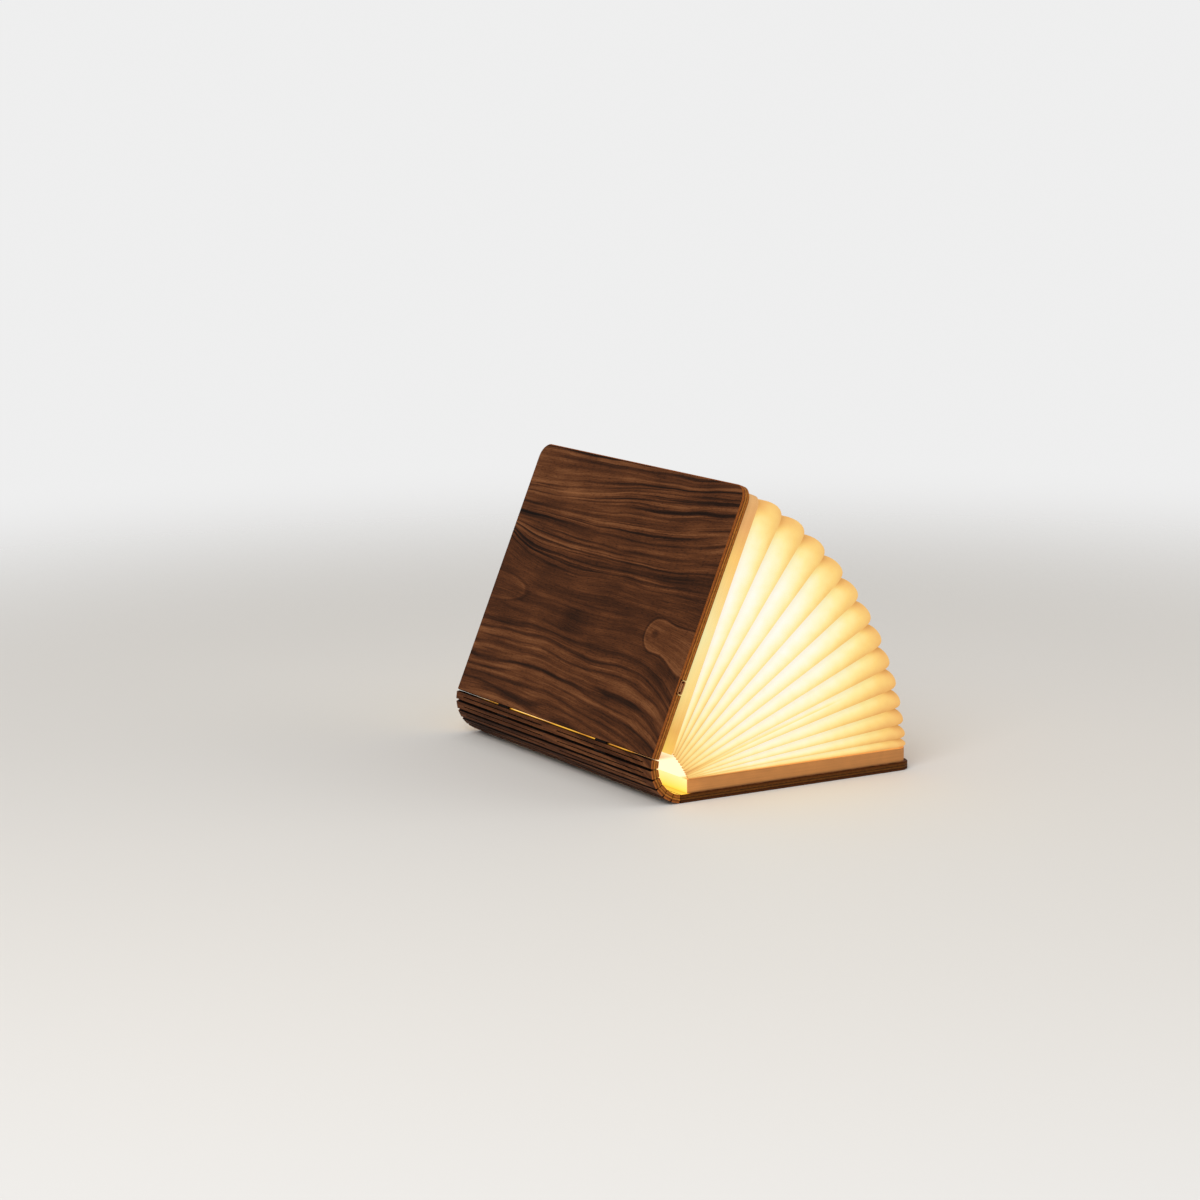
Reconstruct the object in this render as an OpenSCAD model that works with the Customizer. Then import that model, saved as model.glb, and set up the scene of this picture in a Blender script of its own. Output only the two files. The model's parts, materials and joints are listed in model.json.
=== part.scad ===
// Folding book lamp: two wooden covers on a lattice-cut spine, with a pleated
// paper shade between them that opens as a fan and closes as the pages of a book.
// +X runs from the spine to the fore-edge of the back cover, +Y along the spine,
// +Z up. The origin is the centre of the back cover's underside.

/* [Covers] */
// Width of a cover, from its first kerf row to its fore-edge
cover_w = 158; // [120:1:200]
// Height of a cover, measured along the spine
cover_h = 224; // [160:1:260]
// Thickness of the plywood
cover_t = 4.8; // [4.2:0.1:6]
// Corner radius of the covers at the fore-edge
cover_r = 9; // [6:0.5:20]
// Rounding of the plywood's outline where the edges were sanded
edge_soft = 0.5; // [0.3:0.1:0.8]

/* [Opening] */
// Angle between the two covers as the lamp stands
opening = 67; // [40:1:120]

/* [Spine] */
// Distance from one open kerf row to the next
slat_pitch = 5.6; // [5.2:0.1:6.4]
// Width of a kerf at the depth it bends about
kerf = 0.3; // [0.2:0.05:0.5]
// Depth of the bending line below the outer face
hinge_depth = 1.8; // [1.6:0.1:2.2]
// Spare angle of a kerf's flanks beyond its largest bend
flank_spare = 0.6; // [0.3:0.1:2]
// Length of a bridge, the uncut land in a kerf row
bridge_l = 12; // [8:1:20]
// Radius of the round neck that a bridge is cut to
bridge_r = 1.1; // [0.9:0.05:1.3]
// Running gap round a bridge's neck
bridge_gap = 0.08; // [0.05:0.01:0.1]
// Width of the closed slits inside a slat
slit_w = 0.6; // [0.3:0.05:0.8]
// Uncut wood between the two slits of a slat
slit_land = 17; // [10:1:30]
// Uncut wood from a slit to the end of its slat
slit_end = 8.5; // [6:0.5:15]

/* [Page blocks] */
// Inset of a page block from the cover's fore-edge
block_fore_inset = 2.5; // [1.5:0.5:5]
// Inset of a page block from the ends of the spine
block_end_inset = 1.8; // [1:0.1:4]
// Distance from the first kerf row to the page block
block_spine_gap = 5.5; // [4:0.5:8]
// Thickness of the wall left round a pocket in a page block
block_wall = 2.4; // [2:0.1:4]
// Thickness of the skin left between a pocket and the pages
block_web = 1.5; // [1.2:0.1:2]
// Room between the closed page blocks for the folded shade
shade_stack = 3.7; // [3:0.1:5]

/* [Shade] */
// Thickness of the sheet glued on a page block, which ends the shade
endpaper_t = 0.4; // [0.3:0.1:0.5]
// Thickness of the shade's paper, measured in the plane of a page
paper_t = 0.5; // [0.4:0.1:0.8]
// Depth of a pleat, from its ridge to its fold
pleat_depth = 8; // [5:0.5:9]
// Share of that depth left where a pleat starts at the spine
pleat_root = 0.3; // [0.15:0.05:0.6]
// Distance over which a pleat grows to its full depth
pleat_grow = 60; // [30:5:90]
// Corner radius of the shade's ridges at the fore-edge
shade_r = 8; // [6:0.5:16]
// Corner radius of the shade's folds at the fore-edge
fold_r = 3; // [2:0.5:8]
// Inset of the shade's ridges from the outline of the covers
shade_inset = 0.9; // [0.5:0.1:3]
// How much the pleats crowd towards the back cover, 1 for evenly spread
pleat_crowd = 1.4; // [1:0.05:1.8]
// Where a pleat's ridge lies, as a share of the way from its lower fold to its upper one
ridge_at = 0.3; // [0.2:0.05:0.5]

/* [Light bar] */
// Width of the light bar
bar_w = 8; // [6:0.5:10]
// Thickness of the light bar
bar_t = 0.9; // [0.8:0.1:1]
// Distance from the page block's spine edge to the light bar
bar_edge = 1.6; // [1.2:0.1:3]
// Distance from the light bar to the ends of the page block
bar_end = 13; // [11:0.5:25]
// Width of a light-emitting diode
led_w = 3.5; // [2.5:0.1:4]
// Height of a light-emitting diode
led_t = 0.8; // [0.6:0.1:1]
// Distance from the middle of the first diode to the end of the light bar
led_end = 6; // [4:0.5:12]

/* [Battery and charging] */
// Width of the battery cell
cell_w = 50; // [35:1:60]
// Length of the battery cell along the spine
cell_l = 92; // [60:1:110]
// Width of the control board
board_w = 17; // [14:0.5:22]
// Length of the control board
board_l = 58; // [45:1:75]
// Thickness of the control board
board_t = 1.2; // [0.8:0.1:1.6]
// Distance from the front cover's kerf row to the middle of the charge socket
socket_at = 42; // [34:1:60]
// Width of the charge socket
socket_w = 8; // [7:0.1:9]
// Height of the charge socket
socket_h = 3; // [2.6:0.1:3.2]
// Length of the charge socket
socket_l = 7; // [6:0.1:8]
// Thickness of the charge socket's shell
socket_wall = 0.35; // [0.3:0.05:0.5]
// Outer veneer left over the charge socket
veneer_t = 0.7; // [0.5:0.1:0.9]
// Diameter of a lead with its sleeve
lead_d = 1.2; // [0.8:0.1:1.6]
// Diameter of the magnets
magnet_d = 8; // [6:0.5:10]
// Thickness of the magnets
magnet_t = 2; // [1.5:0.1:3]
// Clearance of an inner piece in its pocket
fit_gap = 0.3; // [0.2:0.05:0.4]

/* [Hidden] */
$fn = 48;

slats = 6;
rows = slats + 1;                 // open kerf rows, where the spine bends
bend_closed = 180 / rows;         // turn of one row with the book shut
bend_rest = (180 - opening) / rows;
flank = bend_closed / 2 + flank_spare;
spine_x = -cover_w / 2;           // the back cover's first kerf row
half_h = cover_h / 2;
eps = 0.01;                       // what a cut runs past the face it opens

// Room between the shut covers, and what each page block takes of it.
shut_rise = slat_pitch * total([for (k = [1:slats]) sin(k * bend_closed)]);
shut_gap = shut_rise - 2 * (cover_t - hinge_depth);
block_t = (shut_gap - shade_stack) / 2;
block_top = cover_t + block_t;
paper_gap = 0.3;                  // from an endpaper to the shade's first fold
leaf_base = block_top + endpaper_t + paper_gap;
leaf_rise = shade_stack - 2 * (endpaper_t + paper_gap);

// The page block's outline, from the kerf row outwards.
block_s0 = block_spine_gap;
block_s1 = cover_w - block_fore_inset;
block_half = half_h - block_end_inset;
block_r = cover_r - block_fore_inset;
pocket_floor = block_top - block_web;
pocket_t = pocket_floor - cover_t;

// The shade: pleats between folds, spread over the rows of the spine.
pleats = 13;
pleat_steps = 4;
shade_s0 = block_s0 + 1;
shade_s1 = cover_w - shade_inset;
shade_half = half_h - shade_inset;
arm_steps = 7;
corner_steps = 6;
edge_steps = 3;

// The light bar's rebate in the front page block.
rebate_t = bar_t + led_t + 0.3;
bar_s0 = block_s0 + bar_edge;
bar_half = block_half - bar_end;
leds = 14;
led_pitch = 2 * (bar_half - led_end) / (leds - 1);

// The electronics' pockets in the front page block.
board_s0 = socket_at - board_w / 2;
board_y0 = -block_half + block_wall;
cell_s0 = board_s0 + board_w + block_wall + 2 * fit_gap;
cell_y0 = -cell_l / 2;
switch_size = [4, 3, 1.4];        // the Hall switch, square to the board
switch_s = board_s0 + switch_size[0];
switch_y = board_y0 + board_l - 2 * switch_size[1];
charger_w = board_w * 0.5;        // the charging chip, behind the socket
coil_w = board_w * 0.35;          // the choke of the diodes' supply
chip_t = 1;
coil_t = 2;
magnet_s = block_s1 - magnet_d;
magnet_y = block_half - 2 * magnet_d;
lead_s = bar_s0 + bar_w / 2;
lead_y = board_y0 + board_l * 0.8;
lead_z = cover_t + board_t + lead_d / 2;
lead_bite = 1.5;                  // how far a lead reaches into a pocket

function total(v) = len(v) == 0 ? 0 : [for (i = 0, s = v[0]; i < len(v); i = i + 1, s = s + (i < len(v) ? v[i] : 0)) s][len(v) - 1];

// Bending line of row i (from 0) from the first one, with the covers at an angle.
function chain_x(i, angle) =
    i == 0 ? 0 : slat_pitch * total([for (k = [1:i]) cos(180 - k * (180 - angle) / rows)]);
function chain_z(i, angle) =
    i == 0 ? 0 : slat_pitch * total([for (k = [1:i]) sin(180 - k * (180 - angle) / rows)]);

// A point of the shade: s from the kerf row, y along the spine, and m the place
// in the fan, from 0 at the back cover to the number of rows at the front cover.
// It lies in the shut book, and then turns with the part of the spine it belongs to.
function leaf_point(s, y, m) =
    let (i = min(floor(m), rows - 1),
         a = m * opening / rows,
         dx = s - chain_x(i, 0),
         dz = leaf_base - hinge_depth + leaf_rise * m / rows - chain_z(i, 0))
    [spine_x + chain_x(i, opening) + dx * cos(a) - dz * sin(a),
     y,
     hinge_depth + chain_z(i, opening) + dx * sin(a) + dz * cos(a)];

// Place of fold k in the fan, and how deep the shade is folded in at place m. A pleat
// leans to its lower fold, so its turn from fold to fold runs ahead of its share.
pleat_lean = ln(0.5) / ln(ridge_at);
function fold_at(k) = rows * pow(k / pleats, pleat_crowd);
function pleat_of(m) = min(floor(pleats * pow(m / rows, 1 / pleat_crowd) + 0.0001), pleats - 1);
function fold_depth(m) =
    let (k = pleat_of(m), t = (m - fold_at(k)) / (fold_at(k + 1) - fold_at(k)),
         turn = pow(min(max(t, 0), 1), pleat_lean))
    1 - pow(max(sin(180 * turn), 0), 0.8);
function ramp(t) = let (u = min(max(t, 0), 1)) u * u * (3 - 2 * u);
function grown(s) = pleat_root + (1 - pleat_root) * ramp((s - shade_s0) / pleat_grow);

// The shade's line at one depth: along the near end, round the fore-edge, and back.
function shade_line(deep, inner) =
    let (r = shade_r + deep * (fold_r - shade_r) - inner,
         in = deep * pleat_depth + inner,
         cs = shade_s1 - in - r, cy = shade_half - in - r,
         arm = [for (i = [0:arm_steps - 1])
             let (s = shade_s0 + (cs - shade_s0) * pow(i / arm_steps, 1.2))
             [s, shade_half - deep * pleat_depth * grown(s) - inner]],
         bow = [for (i = [0:corner_steps]) let (a = 90 * i / corner_steps)
             [cs + r * sin(a), cy + r * cos(a)]])
    concat(
        [for (p = arm) [p[0], -p[1]]],
        [for (p = bow) [p[0], -p[1]]],
        [for (i = [1:edge_steps - 1]) [cs + r, cy * (2 * i / edge_steps - 1)]],
        [for (i = [0:corner_steps]) bow[corner_steps - i]],
        [for (i = [0:arm_steps - 1]) arm[arm_steps - 1 - i]]);

// The places at which section n of the shade is drawn.
function fan_places(n) = concat(
    [n - 1],
    [for (k = [0:pleats - 1], i = [0:pleat_steps - 1])
        let (m = fold_at(k) + (fold_at(k + 1) - fold_at(k)) * pow(i / pleat_steps, 1 / pleat_lean))
        if (m > n - 1 + 0.012 && m < n - 0.012) m],
    [n]);

// Stands a panel that is drawn flat, outer face down and kerf row at x = 0, on
// bending line i, with its far side at the given angle and its inner face inwards.
module on_row(i, angle) {
    translate([spine_x + chain_x(i, opening), 0, hinge_depth + chain_z(i, opening)])
        rotate([0, -angle, 0])
            mirror([0, 0, 1])
                translate([0, 0, -hinge_depth])
                    children();
}

module as_back() {
    translate([spine_x, 0, 0]) children();
}

module as_front() {
    on_row(slats, opening) children();
}

// Half of a kerf row's profile: the flank of the wood that starts at s = 0.
function flank_outer() = kerf / 2 + hinge_depth * tan(flank);
function flank_inner() = kerf / 2 + (cover_t - hinge_depth) * tan(flank);

module along_spine(length) {
    translate([0, length / 2, 0]) rotate([90, 0, 0]) linear_extrude(length) children();
}

// The round necks at a quarter and three quarters of the spine.
module bridges(at_s, radius, length) {
    for (y = [-cover_h / 4, cover_h / 4])
        translate([at_s, y + length / 2, hinge_depth])
            rotate([90, 0, 0])
                cylinder(r = radius, h = length);
}

module cover_outline(inset) {
    r = max(cover_r - inset, 0.5);
    translate([0, -half_h + inset]) square([cover_w - cover_r, cover_h - 2 * inset]);
    translate([0, -half_h + inset + r]) square([cover_w - inset, cover_h - 2 * inset - 2 * r]);
    for (side = [-1, 1])
        translate([cover_w - inset - r, side * (half_h - inset - r)])
            circle(r = r);
}

// A cover lying flat: a board whose spine edge is cut back to the kerf's flanks.
module cover_board() {
    difference() {
        union() {
            linear_extrude(cover_t) cover_outline(edge_soft);
            translate([0, 0, edge_soft])
                linear_extrude(cover_t - 2 * edge_soft) cover_outline(0);
        }
        along_spine(cover_h + 2)
            polygon([
                [-1, -1], [flank_outer() + tan(flank), -1],
                [kerf / 2, hinge_depth],
                [flank_inner() + tan(flank), cover_t + 1], [-1, cover_t + 1]
            ]);
    }
}

module back_cover() {
    color("#5a3b2a")
        as_back() {
            cover_board();
            bridges(0, bridge_r, bridge_l);
        }
}

module socket_notch() {
    translate([socket_at - socket_w / 2 - fit_gap, -half_h - eps, veneer_t])
        cube([socket_w + 2 * fit_gap, socket_l + 2 * fit_gap, cover_t]);
}

module front_cover() {
    color("#5a3b2a")
        as_front()
            difference() {
                cover_board();
                bridges(0, bridge_r + bridge_gap, bridge_l + 2 * bridge_gap);
                socket_notch();
            }
}

// One slat of the spine, between two open kerf rows, with its two closed slits.
module slat_board() {
    slit_l = (cover_h - slit_land - 2 * slit_end) / 2;
    difference() {
        union() {
            along_spine(cover_h)
                polygon([
                    [kerf / 2, hinge_depth],
                    [flank_outer(), 0], [slat_pitch - flank_outer(), 0],
                    [slat_pitch - kerf / 2, hinge_depth],
                    [slat_pitch - flank_inner(), cover_t], [flank_inner(), cover_t]
                ]);
            bridges(slat_pitch, bridge_r, bridge_l);
        }
        bridges(0, bridge_r + bridge_gap, bridge_l + 2 * bridge_gap);
        for (side = [-1, 1])
            translate([(slat_pitch - slit_w) / 2,
                       side * (slit_land + slit_l) / 2 - slit_l / 2, -eps])
                cube([slit_w, slit_l, cover_t + 2 * eps]);
    }
}

module spine_slat(k) {
    color("#4c3123") on_row(k - 1, 180 - k * bend_rest) slat_board();
}

module block_outline() {
    translate([block_s0, -block_half]) square([block_s1 - block_r - block_s0, 2 * block_half]);
    translate([block_s0, -block_half + block_r])
        square([block_s1 - block_s0, 2 * (block_half - block_r)]);
    for (side = [-1, 1])
        translate([block_s1 - block_r, side * (block_half - block_r)])
            circle(r = block_r);
}

// A page block lying on its flat cover.
module block_board() {
    translate([0, 0, cover_t]) linear_extrude(block_t) block_outline();
}

// A round pocket that opens towards the cover.
module magnet_pocket(s, y, d, depth) {
    translate([s, y, cover_t - eps]) cylinder(d = d + 2 * fit_gap, h = depth + fit_gap + eps);
}

module pocket(s, y, w, l, depth) {
    translate([s - fit_gap, y - fit_gap, cover_t - eps])
        cube([w + 2 * fit_gap, l + 2 * fit_gap, depth + eps]);
}

module back_page_block() {
    color("#f3ead8")
        as_back()
            difference() {
                block_board();
                for (side = [-1, 1]) magnet_pocket(magnet_s, side * magnet_y, magnet_d, magnet_t);
                magnet_pocket(switch_s, switch_y, magnet_d, magnet_t);
            }
}

module front_page_block() {
    color("#f3ead8")
        as_front()
            difference() {
                block_board();
                for (side = [-1, 1]) magnet_pocket(magnet_s, side * magnet_y, magnet_d, magnet_t);
                pocket(board_s0, board_y0, board_w, board_l, pocket_t);
                pocket(cell_s0, cell_y0, cell_w, cell_l, pocket_t);
                lead_channel(lead_d + 2 * fit_gap);
                translate([bar_s0 - fit_gap, -bar_half - fit_gap, block_top - rebate_t])
                    cube([bar_w + 2 * fit_gap, 2 * (bar_half + fit_gap), rebate_t + eps]);
            }
}

// A sheet glued on a page block, open over the light bar where there is one.
module endpaper_sheet(windowed) {
    difference() {
        translate([0, 0, block_top])
            linear_extrude(endpaper_t) block_outline();
        if (windowed)
            translate([bar_s0 - fit_gap, -bar_half - fit_gap, block_top - eps])
                cube([bar_w + 2 * fit_gap, 2 * (bar_half + fit_gap), endpaper_t + 2 * eps]);
    }
}

module back_endpaper() {
    color("#fbf3df") as_back() endpaper_sheet(false);
}

module front_endpaper() {
    color("#fbf3df") as_front() endpaper_sheet(true);
}

// One section of the pleated shade, which bends with row n of the spine. Its
// outside and inside are the same grid of points, one paper thickness apart.
module shade_fan(n) {
    places = fan_places(n);
    outside = [for (m = places) [for (p = shade_line(fold_depth(m), 0)) leaf_point(p[0], p[1], m)]];
    inside = [for (m = places) [for (p = shade_line(fold_depth(m), paper_t)) leaf_point(p[0], p[1], m)]];
    nm = len(places);
    np = len(outside[0]);
    skin = nm * np;
    function at(i, j) = i * np + j;
    color("#ffe6ad")
        polyhedron(
            points = concat([for (row = outside) each row], [for (row = inside) each row]),
            faces = concat(
                [for (i = [0:nm - 2], j = [0:np - 2])
                    each [[at(i, j), at(i + 1, j), at(i + 1, j + 1)],
                          [at(i, j), at(i + 1, j + 1), at(i, j + 1)]]],
                [for (i = [0:nm - 2], j = [0:np - 2])
                    each [[skin + at(i, j), skin + at(i + 1, j + 1), skin + at(i + 1, j)],
                          [skin + at(i, j), skin + at(i, j + 1), skin + at(i + 1, j + 1)]]],
                [for (j = [0:np - 2], i = [0, nm - 1])
                    let (a = at(i, j), b = at(i, j + 1), c = skin + b, d = skin + a)
                    each i == 0 ? [[a, b, c], [a, c, d]] : [[a, c, b], [a, d, c]]],
                [for (i = [0:nm - 2], j = [0, np - 1])
                    let (a = at(i, j), b = at(i + 1, j), c = skin + b, d = skin + a)
                    each j == 0 ? [[a, c, b], [a, d, c]] : [[a, b, c], [a, c, d]]]));
}

module light_bar() {
    color("white")
        as_front()
            translate([bar_s0, -bar_half, block_top - rebate_t])
                cube([bar_w, 2 * bar_half, bar_t]);
}

module led_row() {
    color("#fff2b0")
        as_front()
            for (i = [0:leds - 1])
                translate([bar_s0 + (bar_w - led_w) / 2, (i - (leds - 1) / 2) * led_pitch - led_w / 2,
                           block_top - rebate_t + bar_t])
                    cube([led_w, led_w, led_t]);
}

module control_board() {
    color("#2f6b46")
        as_front() {
            translate([board_s0, board_y0, cover_t]) cube([board_w, board_l, board_t]);
            translate([board_s0 + board_w / 4, board_y0 + board_l * 0.3, cover_t + board_t])
                cube([charger_w, charger_w, chip_t]);
            translate([board_s0 + board_w / 4, board_y0 + board_l * 0.55, cover_t + board_t])
                cube([coil_w, coil_w, coil_t]);
        }
}

module hall_switch() {
    color("#222222")
        as_front()
            translate([switch_s - switch_size[0] / 2, switch_y - switch_size[1] / 2, cover_t + board_t])
                cube(switch_size);
}

// The socket's round-ended shell, open towards the near end, with its tongue.
module charge_socket() {
    r = socket_h / 2 - 0.4;
    color("silver")
        as_front()
            translate([socket_at, -half_h + fit_gap, cover_t - socket_h / 2])
                rotate([-90, 0, 0]) {
                    difference() {
                        linear_extrude(socket_l) socket_outline(r, 0);
                        translate([0, 0, -eps])
                            linear_extrude(socket_l - 1) socket_outline(r, socket_wall);
                    }
                    translate([-socket_w / 2 + 1.6, -0.35, 0.6])
                        cube([socket_w - 3.2, 0.7, socket_l - 1]);
                }
}

module socket_outline(r, inset) {
    w = socket_w - 2 * inset;
    h = socket_h - 2 * inset;
    k = r - inset;
    square([w - 2 * k, h], center = true);
    square([w, h - 2 * k], center = true);
    for (sx = [-1, 1], sy = [-1, 1])
        translate([sx * (w / 2 - k), sy * (h / 2 - k)]) circle(r = k);
}

module battery_cell() {
    color("#8fa3b8")
        as_front()
            translate([cell_s0, cell_y0, cover_t + fit_gap])
                cube([cell_w, cell_l, pocket_t - 2 * fit_gap]);
}

// The leads' way: from the control board's pocket to the battery's, and to the
// middle of the light bar through the skin under it.
module lead_channel(d) {
    translate([board_s0 + board_w + fit_gap - lead_bite, lead_y, lead_z])
        rotate([0, 90, 0])
            cylinder(d = d, h = block_wall + 2 * lead_bite);
    translate([lead_s, lead_y + 3 * lead_d, lead_z])
        rotate([0, 90, 0])
            cylinder(d = d, h = board_s0 - fit_gap + lead_bite - lead_s);
    translate([lead_s, lead_y + 3 * lead_d, lead_z - d / 2])
        cylinder(d = d, h = block_top - rebate_t - lead_z + d / 2);
}

module inner_leads() {
    color("firebrick") as_front() lead_channel(lead_d);
}

// Disc magnets, which lie against the cover in their pockets.
module disc_magnet(s, y) {
    translate([s, y, cover_t]) cylinder(d = magnet_d, h = magnet_t);
}

module switch_magnet() {
    color("silver") as_back() disc_magnet(switch_s, switch_y);
}

module back_magnets() {
    color("silver") as_back() for (side = [-1, 1]) disc_magnet(magnet_s, side * magnet_y);
}

module front_magnets() {
    color("silver") as_front() for (side = [-1, 1]) disc_magnet(magnet_s, side * magnet_y);
}

back_cover();
front_cover();
for (k = [1:slats])
    spine_slat(k);
back_page_block();
front_page_block();
back_endpaper();
front_endpaper();
for (n = [1:rows])
    shade_fan(n);
light_bar();
led_row();
control_board();
hall_switch();
charge_socket();
battery_cell();
inner_leads();
switch_magnet();
back_magnets();
front_magnets();
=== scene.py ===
# %% [markdown]
# # Dressing a folding book lamp
# The lamp is a book with walnut covers. A laser has cut the spine into a lattice, so that the one sheet of
# plywood bends, and a pleated paper shade fills the space between the covers and glows.
# The construction comes in as a finished frame: boards, slats, page blocks and electronics, all in place.
# This lesson gives each of them its surface, makes the paper shade, and sets up a small studio.

# %% Load the frame
import json
import math

import bmesh
import bpy
import numpy as np
from mathutils import Matrix, Vector

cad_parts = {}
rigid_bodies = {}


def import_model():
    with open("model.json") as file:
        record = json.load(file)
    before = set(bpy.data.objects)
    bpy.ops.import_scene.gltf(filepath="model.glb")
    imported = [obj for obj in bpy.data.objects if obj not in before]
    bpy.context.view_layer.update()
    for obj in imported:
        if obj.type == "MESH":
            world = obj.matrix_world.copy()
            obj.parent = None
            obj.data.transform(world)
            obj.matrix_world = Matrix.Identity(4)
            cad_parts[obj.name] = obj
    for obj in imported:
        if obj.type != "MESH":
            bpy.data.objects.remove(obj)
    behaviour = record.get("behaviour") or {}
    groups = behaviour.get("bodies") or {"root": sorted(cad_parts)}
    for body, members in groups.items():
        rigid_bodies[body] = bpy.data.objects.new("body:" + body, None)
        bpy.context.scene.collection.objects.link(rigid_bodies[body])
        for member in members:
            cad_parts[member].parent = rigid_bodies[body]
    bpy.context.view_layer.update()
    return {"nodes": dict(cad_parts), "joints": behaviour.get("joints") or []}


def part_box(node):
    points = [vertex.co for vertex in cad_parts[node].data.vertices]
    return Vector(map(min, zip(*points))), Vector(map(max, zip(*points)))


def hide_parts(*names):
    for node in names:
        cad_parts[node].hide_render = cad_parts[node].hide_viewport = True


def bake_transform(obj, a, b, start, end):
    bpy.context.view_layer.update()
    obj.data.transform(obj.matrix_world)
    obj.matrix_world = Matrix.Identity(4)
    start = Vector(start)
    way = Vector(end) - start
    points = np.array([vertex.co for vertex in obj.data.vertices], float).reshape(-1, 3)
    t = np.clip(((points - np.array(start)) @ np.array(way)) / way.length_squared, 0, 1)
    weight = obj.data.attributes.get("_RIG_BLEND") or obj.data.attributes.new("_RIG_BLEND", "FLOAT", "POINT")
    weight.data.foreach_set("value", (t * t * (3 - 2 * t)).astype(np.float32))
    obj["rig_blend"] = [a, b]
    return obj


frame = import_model()

# %% [markdown]
# ## Real sizes
# Blender works in metres and a maker works in millimetres. The lesson keeps millimetres for every size and
# multiplies by MM only where a point goes into a mesh. Most sizes are read from the frame, so the looks
# follow the construction if that changes.

# %% Sizes read from the frame
MM = 0.001


def corners_mm(node):
    """The lowest and highest corner of a node, in millimetres."""
    low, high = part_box(node)
    return np.array(low) / MM, np.array(high) / MM


bends = [joint for joint in frame["joints"] if joint["name"].startswith("spine_bend_")]
ROWS = len(bends)
CHAIN = [bends[0]["parent"]] + [joint["child"] for joint in bends]
OPENING = -ROWS * bends[0]["range_deg"][0]
PIVOTS = np.array([joint["pos_m"] for joint in bends]) / MM
PITCH = np.linalg.norm(PIVOTS[1] - PIVOTS[0])
SPINE_X, _, HINGE_DEPTH = PIVOTS[0]
COVER_T = corners_mm("back_cover")[1][2]
HALF_H = corners_mm("back_cover")[1][1]
COVER_W = corners_mm("back_cover")[1][0] - SPINE_X
print(f"{ROWS} rows, {PITCH:.2f} mm apart, open at {OPENING:.0f} degrees; covers {COVER_T:.1f} mm thick")

# %% [markdown]
# ## One sheet of plywood
# Covers and spine are cut from one sheet, so the grain has to run over all eight pieces without a break.
# Each piece gets its own place in that flat sheet: `across` millimetres over the grain, counted from the
# front cover's kerf row, `along` the spine, and the depth under the outer face. A Mapping node per piece
# turns Object coordinates into these, which is a rotation and a shift, and the pattern then stays with the
# piece when the book folds.


# %% Where a body of the spine lies in the flat sheet
def sheet_mapping(step):
    """Turn about Y in radians and shift in millimetres that lay body number `step` in the flat sheet.

    The result's Z is minus the depth under the outer face.
    """
    turn = 180 - step * (180 - OPENING) / ROWS
    pivot = PIVOTS[max(step - 1, 0)]
    a = math.radians(turn)
    across = pivot[0] * math.cos(a) + pivot[2] * math.sin(a)
    depth = -pivot[0] * math.sin(a) + pivot[2] * math.cos(a)
    rows_to_front = ROWS - max(step, 1)
    return a, Vector((-across - rows_to_front * PITCH, 0, -depth - HINGE_DEPTH))


for step in (0, 3, ROWS):
    print(CHAIN[step], "turns", round(math.degrees(sheet_mapping(step)[0]), 1), "degrees")

# %% [markdown]
# ## Two helpers for materials
# A colour is written as the sRGB hex value that a colour picker shows, and one function makes it linear.
# A second one adds a node: it sets the node, fills its sockets, and links those that are given a node.


# %% Colour and node helpers
def colour(code):
    """An sRGB hex colour as linear RGBA."""
    srgb = [int(code[i : i + 2], 16) / 255 for i in (1, 3, 5)]
    linear = [c / 12.92 if c <= 0.04045 else ((c + 0.055) / 1.055) ** 2.4 for c in srgb]
    return (*linear, 1.0)


def add(tree, kind, inputs=(), stops=(), **settings):
    """Adds a node. Its inputs are filled or linked, in order from a list or by name from a dict.

    Stops are a ramp's colours or a curve's points, and settings are the node's own.
    """
    made = tree.nodes.new(kind)
    for name, value in settings.items():
        setattr(made, name, value)
    for key, value in inputs.items() if isinstance(inputs, dict) else enumerate(inputs):
        source = value.outputs[0] if isinstance(value, bpy.types.Node) else value
        if isinstance(source, bpy.types.NodeSocket):
            tree.links.new(source, made.inputs[key])
        else:
            made.inputs[key].default_value = source
    if kind == RAMP:
        elements = made.color_ramp.elements
        for place, (position, tone) in enumerate(stops):
            element = elements[place] if place < len(elements) else elements.new(position)
            element.position, element.color = position, colour(tone)
    if kind == CURVE:
        points = made.mapping.curves[0].points
        for x, y in stops[1:-1]:
            points.new(x, y)
        points[0].location, points[-1].location = stops[0], stops[-1]
        made.mapping.update()
    return made


MATH, VECTOR, NOISE = "ShaderNodeMath", "ShaderNodeVectorMath", "ShaderNodeTexNoise"
RAMP, CURVE, RANGE = "ShaderNodeValToRGB", "ShaderNodeFloatCurve", "ShaderNodeMapRange"
MIX, SHADER, BUMP = "ShaderNodeMix", "ShaderNodeBsdfPrincipled", "ShaderNodeBump"
COORDINATES, SEPARATE, COMBINE = "ShaderNodeTexCoord", "ShaderNodeSeparateXYZ", "ShaderNodeCombineXYZ"
SMOOTH = {"interpolation_type": "SMOOTHSTEP"}
FLAT = {"noise_dimensions": "2D"}
BLEND = {"data_type": "RGBA"}  # a Mix node's colours are its inputs 6 and 7, and its output 2
TINT = {**BLEND, "blend_type": "MULTIPLY"}
print("white is", colour("#ffffff")[:3])


# %% Groups, objects and materials
def sockets(tree, side, **kinds):
    """Adds named sockets to a group's input or output side, by their kind."""
    for kind, names in kinds.items():
        for name in names:
            tree.interface.new_socket(name, in_out=side, socket_type="NodeSocket" + kind)


def placed(name, data):
    """A new object in the scene, at the origin."""
    made = bpy.data.objects.new(name, data)
    bpy.context.scene.collection.objects.link(made)
    return made


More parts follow.
